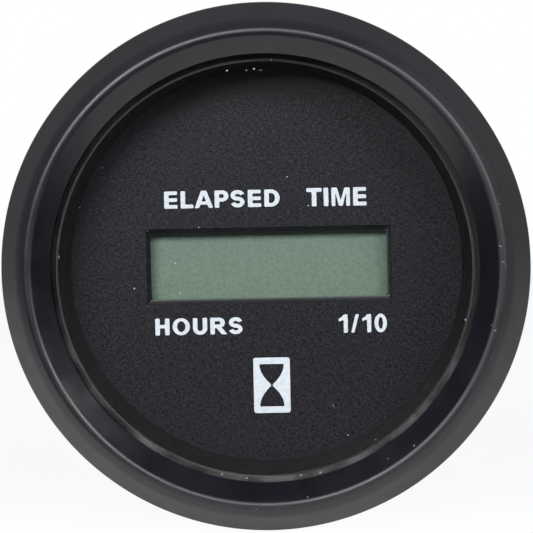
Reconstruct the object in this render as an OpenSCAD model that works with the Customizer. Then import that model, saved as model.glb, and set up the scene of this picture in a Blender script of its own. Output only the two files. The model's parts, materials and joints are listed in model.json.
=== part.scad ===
// Round panel hour meter with a liquid crystal display, for a 52 mm class panel hole.
// The dial faces -Y with +Z up, and the panel plane is Y = 0 with the barrel behind it.

/* [Case] */
// Diameter of the barrel that goes through the panel
barrel_d = 52; // [50:0.5:58]
// Depth of the case behind the panel
case_depth = 26; // [23:0.5:45]
// Wall of the barrel
case_wall = 1.6; // [1.2:0.1:2.2]
// Thickness of the back wall
back_t = 2; // [1.5:0.1:3]
// Radial width of the flange beyond the barrel
flange_w = 1; // [0.8:0.1:1.4]
// Thickness of the flange
flange_t = 1; // [0.8:0.1:1.6]
// Depth of the groove under the flange that takes the rolled lip
neck_depth = 0.3; // [0.2:0.05:0.5]
// Rounding of the back edge
back_round = 1; // [0.5:0.1:1.4]
// Rounding inside, where the barrel meets the back wall
corner_round = 0.8; // [0.4:0.1:1.2]
// Height of the raised pads on the back
pad_h = 1; // [0.6:0.1:2]
// Number of ledges that carry the board
ledge_count = 6; // [3:1:8]
// Width of each ledge
ledge_w = 2.4; // [1.6:0.1:3]
// Radial reach of each ledge
ledge_reach = 2.2; // [1.6:0.1:2.6]
// Width of the key rib at six o'clock
key_w = 3; // [2:0.1:4]
// Radial reach of the key rib
key_reach = 1.2; // [0.8:0.1:1.6]

/* [Bezel] */
// Radial width of the bezel beyond the barrel
bezel_overhang = 4; // [3.4:0.1:6]
// Height of the straight rim above the panel
rim_h = 2; // [1.5:0.1:2.8]
// Rounding where the rim meets the outer slope
shoulder_round = 0.8; // [0.4:0.1:1.2]
// Rounding of the rim's back edge
rim_round = 0.5; // [0.3:0.1:0.8]
// Thickness of the lip rolled in behind the flange
rolled_lip_t = 0.8; // [0.6:0.1:1.2]
// Overlap of the inner lip on the lens rim
lip_overlap = 2.8; // [2.4:0.05:3.4]
// Thickness of the inner lip at the opening
lip_t = 0.5; // [0.4:0.1:0.9]
// Radial width of the inner slope
slope_w = 2.55; // [2.2:0.05:2.7]
// Rise of the inner slope to where it meets the crown
slope_rise = 2.05; // [1.3:0.05:2.2]
// Rounding of the ridge
ridge_round = 0.75; // [0.4:0.05:1.1]
// Radial width of the crown outside the ridge
crown_w = 1.2; // [1:0.05:1.5]
// Fall of the crown to where it meets the outer slope
crown_fall = 1.15; // [0.8:0.05:1.3]
// Rounding between the crown and the outer slope
crown_round = 4; // [1:0.1:4]
// Rounding of the edge of the opening
lip_round = 0.15; // [0.1:0.05:0.2]

/* [Lens] */
// Thickness of the lens rim
lens_rim_t = 1.4; // [1:0.1:2]
// Rise of the lens centre above its rim
lens_step = 0.75; // [0.65:0.05:1]
// Rounding of the raised edge
lens_round = 0.25; // [0.15:0.05:0.5]
// Thickness of the gasket under the inner lip
gasket_t = 0.6; // [0.4:0.1:1]
// Distance of the gasket from the edges it lies between
gasket_inset = 0.35; // [0.2:0.05:0.6]

/* [Dial] */
// Depth from the back of the lens to the dial
dial_depth = 5.8; // [2:0.1:6.5]
// Width of the dial ring at the lens
ring_front_w = 0.95; // [0.7:0.05:1.3]
// Width of the dial ring at the dial
ring_back_w = 2.05; // [1.8:0.05:2.6]
// Thickness of the dial plate
dial_t = 1; // [0.6:0.1:1.6]
// Width of the display window
window_w = 27; // [20:0.1:28]
// Height of the display window
window_h = 7.6; // [6:0.1:9]
// Corner rounding of the window
window_round = 0.4; // [0.3:0.1:1]
// Bevel round the window
window_bevel = 0.5; // [0.1:0.05:0.6]
// Distance of the window's middle to the right of the axis
window_shift = 0.3; // [0:0.1:1]
// Height of the window's middle above the axis
window_lift = 0.1; // [0:0.1:2]

/* [Display] */
// Thickness of each glass
glass_t = 0.7; // [0.5:0.1:1.1]
// Thickness of each polarising film
film_t = 0.25; // [0.15:0.05:0.4]
// Margin of the polariser beyond the window
film_margin = 1.6; // [1.3:0.1:2]
// Margin of the glass beyond the polariser
glass_margin = 0.9; // [0.5:0.1:1.4]
// Width of the contact ledge along the front glass
contact_ledge = 2.1; // [1.8:0.1:2.6]
// Thickness of a contact strip
strip_t = 1.5; // [1:0.1:1.7]
// Height of a contact strip, from glass to board
strip_h = 3.9; // [3:0.1:6]

/* [Carrier] */
// Thickness of the carrier plate
carrier_t = 2.2; // [1.6:0.1:2.8]
// Thickness of the mask in front of the display
mask_t = 0.9; // [0.5:0.1:1.2]
// Margin of the mask opening beyond the window
mask_margin = 0.7; // [0.4:0.05:0.9]
// Wall round the display
carrier_wall = 1.2; // [0.8:0.1:1.6]
// Diameter of a screw boss
boss_d = 4.2; // [3.6:0.1:5]

/* [Board] */
// Thickness of the circuit board
board_t = 1.6; // [1:0.1:2]
// Shank diameter of a board screw
screw_d = 2; // [1.6:0.1:2.4]
// Length of screw in the boss
screw_bite = 3; // [2:0.1:3.4]
// Head diameter of a board screw
screw_head_d = 3.8; // [3:0.1:4.2]
// Head height of a board screw
screw_head_h = 1.4; // [1:0.1:2]
// Width of the microcontroller
mcu_w = 10; // [7:0.5:10.5]
// Thickness of the microcontroller
mcu_t = 1.4; // [1:0.1:2]
// Diameter of the reservoir capacitor
capacitor_d = 6.3; // [4:0.1:6.8]
// Height of the reservoir capacitor
capacitor_h = 6.9; // [4:0.1:8]
// Length of the crystal can
crystal_l = 10.2; // [6:0.1:10.6]
// Width of the crystal can
crystal_w = 3.8; // [2.5:0.1:4.2]
// Height of the crystal can
crystal_h = 3.2; // [2:0.1:4.5]

/* [Terminals] */
// Width of a blade
blade_w = 6.35; // [4.75:0.05:6.35]
// Thickness of a blade
blade_t = 0.8; // [0.5:0.05:1]
// Length of a blade beyond its pad
blade_out = 8; // [7:0.1:10]
// Diameter of the catch hole in a blade
blade_hole_d = 1.8; // [1.4:0.1:2]
// Distance of the catch hole from the tip
blade_hole_in = 3.6; // [3:0.1:4.5]
// Distance between the two blades
blade_spacing = 13; // [11:0.5:15]
// Distance of the blades below the axis
blade_drop = 12.5; // [12:0.5:14]
// Width of the soldered tail
tail_w = 2; // [1:0.1:3]
// Length of tail that shows in front of the board
tail_out = 0.8; // [0.4:0.1:1.4]

/* [Studs] */
// Thread diameter of a mounting stud
stud_d = 4; // [3.8:0.1:5]
// Diameter of a stud's rolled shank, from its head through the nut
shank_d = 3.55; // [3:0.05:3.6]
// Length of a stud beyond its pad
stud_out = 16; // [10:0.5:30]
// Distance between the two studs
stud_spacing = 27; // [22:0.5:30]
// Height of the studs above the axis
stud_lift = 3; // [-2:0.5:5]
// Width across flats of a stud's head
stud_head_af = 7; // [5:0.1:8]
// Thickness of a stud's head
stud_head_t = 2.4; // [1.5:0.1:4]
// Width across flats of a nut
nut_af = 7; // [6.5:0.1:9]
// Thickness of a nut
nut_t = 3.2; // [2:0.1:4]
// Outside diameter of a lock washer, over its teeth
washer_d = 8; // [7.6:0.1:9]
// Radial length of a washer's teeth
tooth_l = 0.8; // [0.5:0.1:1]
// Number of teeth on a washer
tooth_count = 10; // [8:1:12]
// Thickness of a lock washer
washer_t = 0.8; // [0.5:0.1:1.2]

/* [Clearances] */
// Between the case bore and what is stacked in it
stack_gap = 0.15; // [0.05:0.05:0.3]
// Between the bezel and what it holds
bezel_gap = 0.15; // [0.05:0.05:0.3]
// Between the raised lens centre and the bezel
lens_gap = 0.6; // [0.3:0.05:0.8]
// Between the rolled lip and the groove it goes into
roll_gap = 0.2; // [0.1:0.05:0.3]
// Round the display glass in its carrier
glass_gap = 0.2; // [0.1:0.05:0.4]
// Round a blade in its slots
slot_gap = 0.12; // [0.05:0.01:0.3]
// Round a stud in the back wall
stud_gap = 0.15; // [0.05:0.05:0.3]
// Between two mating threads
thread_gap = 0.03; // [0.01:0.01:0.05]

/* [Hidden] */
$fn = 96;
// Overshoot of a cut past the face it leaves
past = 1;

// Radii
barrel_r = barrel_d / 2;
bore_r = barrel_r - case_wall;
neck_r = barrel_r - neck_depth;
flange_r = barrel_r + flange_w;
bezel_r = barrel_r + bezel_overhang;
roll_r = neck_r + roll_gap + neck_depth;
pocket_r = flange_r + bezel_gap;
sight_r = flange_r - lip_overlap;
ridge_line_r = sight_r + slope_w;
lens_face_r = sight_r - lens_gap;
stack_r = bore_r - stack_gap;
ledge_r = bore_r - ledge_reach;
key_r = bore_r - key_reach;

// Levels along the axis, toward the viewer, from the panel plane
flange_back = rolled_lip_t;
flange_front = flange_back + flange_t;
lens_rim_front = flange_front + lens_rim_t;
lens_front = lens_rim_front + lens_step;
lip_back = lens_rim_front + gasket_t;
lip_front = lip_back + lip_t;
ridge_line = lip_front + slope_rise;
dial_front = flange_front - dial_depth;
dial_back = dial_front - dial_t;
mask_back = dial_back - mask_t;
front_glass_front = mask_back - film_t;
front_glass_back = front_glass_front - glass_t;
rear_glass_back = front_glass_back - glass_t;
board_front = front_glass_back - strip_h;
board_back = board_front - board_t;
case_back = -case_depth;
case_floor = case_back + back_t;
pad_face = case_back - pad_h;
washer_face = pad_face - washer_t;
nut_face = washer_face - nut_t;

// Display outline, round the window's middle
window_at = [window_shift, window_lift];
film_w = window_w + 2 * film_margin;
film_h = window_h + 2 * film_margin;
glass_w = film_w + 2 * glass_margin;
rear_glass_h = film_h + 2 * glass_margin;
front_glass_h = rear_glass_h + 2 * contact_ledge;
pocket_w = glass_w + 2 * glass_gap;
pocket_h = front_glass_h + 2 * glass_gap;
frame_w = pocket_w + 2 * carrier_wall;
frame_h = pocket_h + 2 * carrier_wall;
frame_round = 1;
strip_y = (rear_glass_h + contact_ledge) / 2;

// Board screws, in from the corners of the display frame
boss_gap = 0.3;
boss_x = frame_w / 2 - boss_d / 2;
boss_rise = frame_h / 2 + boss_d / 2 + boss_gap;
boss_places = [for (sx = [-1, 1], sy = [-1, 1]) window_at + [sx * boss_x, sy * boss_rise]];

// Places of the parts on the back of the board
mcu_at = [0, 5];
crystal_at = [11, 3.5];
capacitor_at = [-11, 3.5];
rectifier_at = [0, -6.6];
suppressor_at = [-10.2, -4.6];
regulator_at = [10.4, -6];
memory_inset = 8.2;
memory_at = [0, stack_r - memory_inset];
resistor_inset = 6.8;
resistor_row = resistor_inset - stack_r;
resistor_count = 6;
resistor_pitch = 3;
filter_inset = 9.2;
filter_near = 5.6;
filter_pitch = 3;
filter_row = stack_r - filter_inset;
filter_places = [for (side = [-1, 1], i = [0, 1]) [side * (filter_near + i * filter_pitch), filter_row]];

// Sizes of the parts on the board, [across, along, thickness]
memory_size = [5, 4, 1.5];
rectifier_size = [8.2, 6.4, 2.6];
suppressor_size = [6.4, 5, 2.2];
regulator_size = [6.4, 3.6, 1.6];
resistor_size = [1.6, 3.2, 0.55];
filter_size = [1.25, 2, 1];
lead_t = 0.15;
lead_reach = 0.9;
lead_knee = 0.36;
lead_root = 0.3;
mcu_corner = 1;
mcu_side_leads = 11;
mcu_lead_w = 0.35;

// Leads along one side of a chip, [count, pitch, width]
mcu_leads = [mcu_side_leads, (mcu_w - 2 * mcu_corner) / (mcu_side_leads - 1), mcu_lead_w];
memory_leads = [4, 1.27, 0.42];
rectifier_leads = [2, 5.1, 1.2];
regulator_leads = [3, 2.3, 0.7];
tab_lead = [1, 0, 3];

// Capacitor and crystal details
base_margin = 0.3;
base_t = 0.8;
can_round = 0.5;
crystal_flange = 0.35;
crystal_flange_t = 0.5;

// Terminal and stud details
blade_taper = 1.2;
blade_tip_in = 0.9;
terminal_margin = 2.4;
terminal_pad_h = blade_t + 2 * terminal_margin;
stud_pad_margin = 0.8;
stud_pad_d = washer_d + 2 * stud_pad_margin;
stud_chamfer = 0.6;
head_drive_w = 0.7;
head_drive_depth = 0.6;

// Turns a piece drawn face-on, x right, y up and z to the viewer, to face -Y
module upright() {
    rotate([90, 0, 0]) children();
}

// Seats a piece on the back of the board, with z pointing away from it
module on_board(place) {
    translate([place.x, place.y, board_back]) mirror([0, 0, 1]) children();
}

function unit(v) = v / norm(v);
function half_angle(a, p, b) = acos(unit(a - p) * unit(b - p)) / 2;
function setback(a, p, b, r) = r / tan(half_angle(a, p, b));
function arc_centre(a, p, b, r) = p + unit(unit(a - p) + unit(b - p)) * r / sin(half_angle(a, p, b));

// Outline through corners [x, y, rounding], listed counter-clockwise
module rounded_outline(corners) {
    last = len(corners) - 1;
    p = [for (c = corners) [c.x, c.y]];
    r = [for (c = corners) c.z];
    a = [for (i = [0:last]) p[(i + last) % (last + 1)]];
    b = [for (i = [0:last]) p[(i + 1) % (last + 1)]];
    start = [for (i = [0:last]) p[i] + unit(a[i] - p[i]) * setback(a[i], p[i], b[i], r[i])];
    end = [for (i = [0:last]) p[i] + unit(b[i] - p[i]) * setback(a[i], p[i], b[i], r[i])];
    bulges = [for (i = [0:last]) cross(p[i] - a[i], b[i] - p[i]) > 0];
    difference() {
        union() {
            polygon([for (i = [0:last]) each r[i] == 0 ? [p[i]] : [start[i], end[i]]]);
            for (i = [0:last])
                if (r[i] > 0 && bulges[i])
                    corner_arc(start[i], p[i], end[i], arc_centre(a[i], p[i], b[i], r[i]), r[i]);
        }
        for (i = [0:last])
            if (r[i] > 0 && !bulges[i])
                corner_arc(start[i], p[i], end[i], arc_centre(a[i], p[i], b[i], r[i]), r[i]);
    }
}

// The part of a rounding's circle that lies within its corner
module corner_arc(start, corner, end, centre, r) {
    intersection() {
        translate(centre) circle(r);
        polygon([start, corner, end]);
    }
}

// Rectangle with round corners, centred
module rounded_rect(w, h, r) {
    square([w - 2 * r, h], center = true);
    square([w, h - 2 * r], center = true);
    for (sx = [-1, 1], sy = [-1, 1])
        translate([sx * (w / 2 - r), sy * (h / 2 - r)]) circle(r);
}

// Plate of the given outline between two levels
module between(low, high) {
    translate([0, 0, low]) linear_extrude(high - low) children();
}

// Flat rectangular sheet behind the window, from its front level
module display_sheet(w, h, t, front) {
    translate(window_at) between(front - t, front) square([w, h], center = true);
}

// Cut for the key rib in what is stacked in the case
module key_notch(low, high) {
    w = key_w + 2 * stack_gap;
    between(low - past, high + past)
        translate([-w / 2, -bore_r - past]) square([w, bore_r + past - key_r + stack_gap]);
}

// Chip body with gull-wing leads on the sides named by quarter turns
module leaded_chip(size, sides, leads) {
    between(lead_t, size.z) square([size.x, size.y], center = true);
    for (s = sides, i = [0:leads[0] - 1]) {
        edge = (s % 2 == 0 ? size.y : size.x) / 2;
        rotate(90 * s) translate([(i - (leads[0] - 1) / 2) * leads[1], edge, 0])
            rotate([90, 0, 90]) linear_extrude(leads[2], center = true) gull_wing(size.z / 2);
    }
}

// Side view of one lead, from inside the body out to its foot on the board
module gull_wing(rise) {
    polygon([
        [-lead_root, rise], [lead_knee, rise], [lead_knee, 0], [lead_reach, 0], [lead_reach, lead_t],
        [lead_knee + lead_t, lead_t], [lead_knee + lead_t, rise + lead_t], [-lead_root, rise + lead_t]
    ]);
}

// Ring with the ridge, the inner lip and the lip rolled in behind the flange
module bezel() {
    color("#2c2b2d") upright() rotate_extrude() rounded_outline([
        [roll_r, 0, 0],
        [bezel_r, 0, rim_round],
        [bezel_r, rim_h, shoulder_round],
        [ridge_line_r + crown_w, ridge_line - crown_fall, crown_round],
        [ridge_line_r, ridge_line, ridge_round],
        [sight_r, lip_front, lip_round],
        [sight_r, lip_back, 0],
        [pocket_r, lip_back, 0],
        [pocket_r, flange_back, 0],
        [roll_r, flange_back, 0]
    ]);
}

module lens_gasket() {
    color("#161616") upright() between(lens_rim_front, lip_back) difference() {
        circle(flange_r - gasket_inset);
        circle(sight_r + gasket_inset);
    }
}

// Clear disc with a raised centre that stands in the bezel's opening
module lens() {
    color("#dfe6e8", 0.35) upright() rotate_extrude() rounded_outline([
        [0, flange_front, 0],
        [flange_r, flange_front, 0],
        [flange_r, lens_rim_front, 0],
        [lens_face_r, lens_rim_front, 0],
        [lens_face_r, lens_front, lens_round],
        [0, lens_front, 0]
    ]);
}

// Conical wall from the lens down to the dial
module dial_ring() {
    color("#1b1b1d") upright() rotate_extrude() rounded_outline([
        [bore_r - ring_back_w, dial_front, 0],
        [stack_r, dial_front, 0],
        [stack_r, flange_front, 0],
        [bore_r - ring_front_w, flange_front, 0]
    ]);
}

module dial_plate() {
    color("#2f2f33") upright() difference() {
        between(dial_back, dial_front) circle(stack_r);
        translate(window_at) window_cut();
        key_notch(dial_back, dial_front);
    }
}

// Opening with round corners and a straight bevel on its front edge
module window_cut() {
    spread = 4 * window_bevel;
    between(dial_back - past, dial_front + past) rounded_rect(window_w, window_h, window_round);
    intersection() {
        rotate([90, 0, 0]) linear_extrude(window_h + spread, center = true) bevel_section(window_w);
        rotate([90, 0, 90]) linear_extrude(window_w + spread, center = true) bevel_section(window_h);
    }
}

// Section of the bevel across an opening of the given width
module bevel_section(w) {
    foot = dial_front - window_bevel;
    polygon([
        [-w / 2, foot], [w / 2, foot],
        [w / 2 + 2 * window_bevel, dial_front + window_bevel],
        [-w / 2 - 2 * window_bevel, dial_front + window_bevel]
    ]);
}

module lcd_front_polariser() {
    color("#748b7d") upright() display_sheet(film_w, film_h, film_t, mask_back);
}

// Front glass, taller than the rear one by a contact ledge on each long edge
module lcd_front_glass() {
    color("#b9cdc2", 0.6) upright() display_sheet(glass_w, front_glass_h, glass_t, front_glass_front);
}

module lcd_rear_glass() {
    color("#b9cdc2", 0.6) upright() display_sheet(glass_w, rear_glass_h, glass_t, front_glass_back);
}

module lcd_reflector() {
    color("#9aa39c") upright() display_sheet(film_w, film_h, film_t, rear_glass_back);
}

// Moulded plate behind the dial, with a walled pocket for the display and four screw bosses
module display_carrier() {
    color("#202022") upright() difference() {
        union() {
            between(dial_back - carrier_t, dial_back) circle(stack_r);
            translate(window_at)
                between(board_front, dial_back - carrier_t / 2) rounded_rect(frame_w, frame_h, frame_round);
            for (place = boss_places)
                translate(place) between(board_front, dial_back - carrier_t / 2) circle(d = boss_d);
        }
        translate(window_at) {
            between(mask_back - past, dial_back + past)
                square([window_w + 2 * mask_margin, window_h + 2 * mask_margin], center = true);
            between(board_front - past, mask_back) square([pocket_w, pocket_h], center = true);
        }
        for (place = boss_places)
            translate(place) between(board_front - past, board_front + screw_bite + boss_gap)
                circle(d = screw_d + 2 * thread_gap);
        key_notch(dial_back - carrier_t, dial_back);
    }
}

// Rubber strip with conducting layers, pressed between a glass ledge and the board
module contact_strip(side) {
    color("#3a3a3c") upright()
        translate(window_at + [0, side * strip_y])
            between(board_front, front_glass_back) square([film_w, strip_t], center = true);
}

module upper_contact_strip() {
    contact_strip(1);
}

module lower_contact_strip() {
    contact_strip(-1);
}

module circuit_board() {
    color("#2f6b3d") upright() difference() {
        between(board_back, board_front) circle(stack_r);
        for (place = boss_places)
            translate(place) between(board_back - past, board_front + past)
                circle(d = screw_d + 2 * slot_gap);
        for (side = [-1, 1])
            translate([side * blade_spacing / 2, -blade_drop, 0])
                between(board_back - past, board_front + past)
                    square([tail_w + 2 * slot_gap, blade_t + 2 * slot_gap], center = true);
        key_notch(board_back, board_front);
    }
}

// Pan-head screws that hold the carrier to the board
module board_screws() {
    color("#b9b9bb") upright() for (place = boss_places)
        translate(place) difference() {
            union() {
                between(board_back - screw_head_h, board_back) circle(d = screw_head_d);
                between(board_back - screw_head_h / 2, board_front + screw_bite) circle(d = screw_d);
            }
            between(board_back - screw_head_h - past, board_back - screw_head_h + head_drive_depth)
                square([head_drive_w, screw_head_d + past], center = true);
        }
}

module microcontroller() {
    color("#232325") upright() on_board(mcu_at)
        leaded_chip([mcu_w, mcu_w, mcu_t], [0, 1, 2, 3], mcu_leads);
}

module memory_chip() {
    color("#232325") upright() on_board(memory_at) leaded_chip(memory_size, [0, 2], memory_leads);
}

// Flanged can with round ends
module quartz_crystal() {
    color("#c3c5c6") upright() on_board(crystal_at) rotate(90) {
        between(0, crystal_flange_t) stadium(crystal_l + 2 * crystal_flange, crystal_w + 2 * crystal_flange);
        between(crystal_flange_t / 2, crystal_h) stadium(crystal_l, crystal_w);
    }
}

// Straight-sided outline with half-round ends
module stadium(length, width) {
    square([length - width, width], center = true);
    for (side = [-1, 1])
        translate([side * (length - width) / 2, 0]) circle(d = width);
}

// Upright can on a square moulded base
module reservoir_capacitor() {
    base_w = capacitor_d + 2 * base_margin;
    color("#8d949b") upright() on_board(capacitor_at) {
        between(0, base_t) square(base_w, center = true);
        rotate_extrude() rounded_outline([
            [0, base_t / 2, 0],
            [capacitor_d / 2, base_t / 2, 0],
            [capacitor_d / 2, capacitor_h, can_round],
            [0, capacitor_h, 0]
        ]);
    }
}

module rectifier() {
    color("#232325") upright() on_board(rectifier_at) leaded_chip(rectifier_size, [0, 2], rectifier_leads);
}

module surge_suppressor() {
    color("#232325") upright() on_board(suppressor_at) leaded_chip(suppressor_size, [0, 2], tab_lead);
}

module voltage_regulator() {
    color("#232325") upright() on_board(regulator_at) {
        leaded_chip(regulator_size, [2], regulator_leads);
        leaded_chip(regulator_size, [0], tab_lead);
    }
}

module chip_resistors() {
    color("#1f1f22") upright() for (i = [0:resistor_count - 1])
        on_board([(i - (resistor_count - 1) / 2) * resistor_pitch, resistor_row])
            between(0, resistor_size.z) square([resistor_size.x, resistor_size.y], center = true);
}

module chip_capacitors() {
    color("#a58a66") upright() for (place = filter_places)
        on_board(place) between(0, filter_size.z) square([filter_size.x, filter_size.y], center = true);
}

// Moulded cup with a flange, ledges for the board, a key rib and pads on its back
module case() {
    color("#29292b") upright() difference() {
        union() {
            rotate_extrude() rounded_outline([
                [0, case_back, 0],
                [barrel_r, case_back, back_round],
                [barrel_r, 0, 0],
                [neck_r, 0, 0],
                [neck_r, flange_back, 0],
                [flange_r, flange_back, 0],
                [flange_r, flange_front, 0],
                [bore_r, flange_front, 0],
                [bore_r, case_floor, corner_round],
                [0, case_floor, 0]
            ]);
            for (i = [0:ledge_count - 1])
                rotate(360 / ledge_count * i) wall_rib(ledge_r, ledge_w, board_back);
            rotate(-90) wall_rib(key_r, key_w, dial_front - stack_gap);
            back_pads();
        }
        for (side = [-1, 1]) {
            translate([side * stud_spacing / 2, stud_lift, 0])
                between(pad_face - past, case_floor + past) circle(d = stud_d + 2 * stud_gap);
            translate([side * blade_spacing / 2, -blade_drop, 0])
                between(pad_face - past, case_floor + past)
                    square([blade_w + 2 * slot_gap, blade_t + 2 * slot_gap], center = true);
        }
    }
}

// Rib on the inside of the barrel, from the back wall up to a level
module wall_rib(inner_r, width, top) {
    between(case_floor - back_t / 2, top)
        translate([inner_r, -width / 2]) square([bore_r + case_wall / 2 - inner_r, width]);
}

// Raised seats for the stud washers and the blades
module back_pads() {
    for (side = [-1, 1])
        translate([side * stud_spacing / 2, stud_lift, 0])
            between(pad_face, case_back + back_t / 2) circle(d = stud_pad_d);
    translate([0, -blade_drop, 0]) between(pad_face, case_back + back_t / 2)
        rounded_rect(blade_spacing + blade_w + 2 * terminal_margin, terminal_pad_h, terminal_margin / 2);
}

// Quick-connect tab with a soldered tail, a taper at the tip and a catch hole
module blade(side) {
    tip = pad_face - blade_out;
    color("#c8b27a") upright() translate([side * blade_spacing / 2, -blade_drop, 0])
        rotate([90, 0, 0]) linear_extrude(blade_t, center = true) difference() {
            polygon([
                [-tail_w / 2, board_front + tail_out], [-tail_w / 2, board_back],
                [-blade_w / 2, board_back], [-blade_w / 2, tip + blade_taper],
                [-blade_w / 2 + blade_tip_in, tip], [blade_w / 2 - blade_tip_in, tip],
                [blade_w / 2, tip + blade_taper], [blade_w / 2, board_back],
                [tail_w / 2, board_back], [tail_w / 2, board_front + tail_out]
            ]);
            translate([0, tip + blade_hole_in]) circle(d = blade_hole_d);
        }
}

module positive_blade() {
    blade(1);
}

module negative_blade() {
    blade(-1);
}

// Places a piece at each stud
module at_studs() {
    for (side = [-1, 1])
        translate([side * stud_spacing / 2, stud_lift, 0]) children();
}

// Studs with a hexagon head inside the case, a rolled shank and a chamfered free thread
module mounting_studs() {
    end = pad_face - stud_out;
    color("#b4b6b8") upright() at_studs() {
        between(case_floor, case_floor + stud_head_t) hexagon(stud_head_af);
        rotate_extrude() polygon([
            [0, end], [stud_d / 2 - stud_chamfer, end], [stud_d / 2, end + stud_chamfer],
            [stud_d / 2, nut_face], [shank_d / 2, nut_face],
            [shank_d / 2, case_floor + stud_head_t / 2], [0, case_floor + stud_head_t / 2]
        ]);
    }
}

// Hexagon by its width across flats
module hexagon(across_flats) {
    circle(d = across_flats / cos(30), $fn = 6);
}

// Lock washers with teeth round the outside
module stud_washers() {
    root_r = washer_d / 2 - tooth_l;
    tooth_w = PI * washer_d / tooth_count / 2;
    color("#a9abad") upright() at_studs() between(washer_face, pad_face) difference() {
        union() {
            circle(root_r);
            for (i = [0:tooth_count - 1])
                rotate(360 / tooth_count * i) translate([root_r / 2, -tooth_w / 2])
                    square([washer_d / 2 - root_r / 2, tooth_w]);
        }
        circle(d = stud_d + 2 * stud_gap);
    }
}

// Hexagon nuts with both faces chamfered to a cone
module stud_nuts() {
    corner_r = nut_af / cos(30) / 2;
    flat_r = nut_af / 2;
    drop = (corner_r - flat_r) * tan(30);
    color("#b4b6b8") upright() at_studs() translate([0, 0, nut_face]) difference() {
        intersection() {
            between(0, nut_t) hexagon(nut_af);
            rotate_extrude() polygon([
                [0, 0], [flat_r, 0], [corner_r + past, drop + past * tan(30)],
                [corner_r + past, nut_t - drop - past * tan(30)], [flat_r, nut_t], [0, nut_t]
            ]);
        }
        between(-past, nut_t + past) circle(d = shank_d + 2 * thread_gap);
    }
}

bezel();
lens_gasket();
lens();
dial_ring();
dial_plate();
lcd_front_polariser();
lcd_front_glass();
lcd_rear_glass();
lcd_reflector();
display_carrier();
upper_contact_strip();
lower_contact_strip();
circuit_board();
board_screws();
microcontroller();
memory_chip();
quartz_crystal();
reservoir_capacitor();
rectifier();
surge_suppressor();
voltage_regulator();
chip_resistors();
chip_capacitors();
case();
positive_blade();
negative_blade();
mounting_studs();
stud_washers();
stud_nuts();
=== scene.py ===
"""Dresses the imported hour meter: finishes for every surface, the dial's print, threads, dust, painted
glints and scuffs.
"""

import json
import math
import random

import bmesh
import bpy
from mathutils import Matrix, Vector
from mathutils.bvhtree import BVHTree


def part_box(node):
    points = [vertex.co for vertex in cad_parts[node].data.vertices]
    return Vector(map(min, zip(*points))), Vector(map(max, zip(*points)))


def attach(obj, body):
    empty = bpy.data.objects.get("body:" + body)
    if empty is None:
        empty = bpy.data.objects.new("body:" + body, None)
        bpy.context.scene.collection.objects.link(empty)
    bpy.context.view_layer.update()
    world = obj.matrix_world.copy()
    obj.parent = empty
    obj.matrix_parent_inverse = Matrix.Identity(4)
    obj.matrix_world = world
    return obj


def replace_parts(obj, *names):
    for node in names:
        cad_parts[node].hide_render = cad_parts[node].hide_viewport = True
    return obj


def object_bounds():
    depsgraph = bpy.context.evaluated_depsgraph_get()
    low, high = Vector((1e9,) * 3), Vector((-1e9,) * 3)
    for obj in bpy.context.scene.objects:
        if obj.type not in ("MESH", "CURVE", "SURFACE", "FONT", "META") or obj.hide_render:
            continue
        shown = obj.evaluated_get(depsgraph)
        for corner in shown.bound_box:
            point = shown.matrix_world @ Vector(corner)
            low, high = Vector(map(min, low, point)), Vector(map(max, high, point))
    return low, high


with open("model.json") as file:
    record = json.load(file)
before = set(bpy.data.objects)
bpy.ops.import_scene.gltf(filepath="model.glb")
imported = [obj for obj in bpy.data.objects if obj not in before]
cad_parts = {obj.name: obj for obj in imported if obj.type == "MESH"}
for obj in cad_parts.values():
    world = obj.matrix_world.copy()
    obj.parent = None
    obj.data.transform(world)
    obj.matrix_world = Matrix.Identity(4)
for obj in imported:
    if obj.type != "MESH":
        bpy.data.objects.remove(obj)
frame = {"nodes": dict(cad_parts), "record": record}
cad_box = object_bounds()

# Lengths are in metres where MM is a factor of them, and in millimetres elsewhere
MM = 0.001

# Camera, as the photograph was taken, turned and raised from the dial's axis in degrees
CAMERA_DISTANCE = 380 * MM
CAMERA_TURN = 1.7
CAMERA_RISE = 3.9
CAMERA_ROLL = math.radians(-1.25)
CAMERA_AIM = Vector((0.1, -1.0, 0.05)) * MM
CAMERA_CLIP = 10 * MM
HALF_FRAME = 30.25 * MM
SENSOR = 36

# Soft lights, turned and raised from the dial's axis in degrees
KEY_LIGHT = {"turn": -25, "rise": 26, "width": 290 * MM, "height": 150 * MM, "power": 2.45}
FILL_LIGHT = {"turn": 44, "rise": 22, "width": 200 * MM, "height": 170 * MM, "power": 1.65}
TOP_LIGHT = {"turn": 17, "rise": 34, "width": 140 * MM, "height": 90 * MM, "power": 0.7}
LIGHT_DISTANCE = 550 * MM

# World: the light from the front and from behind the object, and how far back a direction points, from -1
# to 1, where the backdrop sets in and where it goes over to full white
STUDIO_LEVEL = 0.05
BACKDROP_LEVEL = 0.31
BACKDROP_START = (-0.12, 0.15)
BACKDROP_MIDDLE = (0.55, 0.9)

# Floor: how far it lies under the bezel and comes forward, how white the camera and reflections see it, and
# the share of its radius where it starts to fade into the backdrop
FLOOR_DROP = 0.2 * MM
FLOOR_RADIUS = 260 * MM
FLOOR_SIDES = 96
FLOOR_FRONT = 28 * MM
FLOOR_WHITE = 0.9
FLOOR_SHEEN = 0.29
FLOOR_FADE = 0.7

# Corners of the bezel's section: radius, distance in front of the panel and rounding
BEZEL_SECTION = [
    (26.2, 0, 0), (30, 0, 0.5), (30, 2, 0.8), (27.95, 5.2, 4), (26.75, 6.35, 0.75),
    (24.2, 4.3, 0.15), (24.2, 3.8, 0), (27.15, 3.8, 0), (27.15, 0.8, 0), (26.2, 0.8, 0),
]

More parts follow.
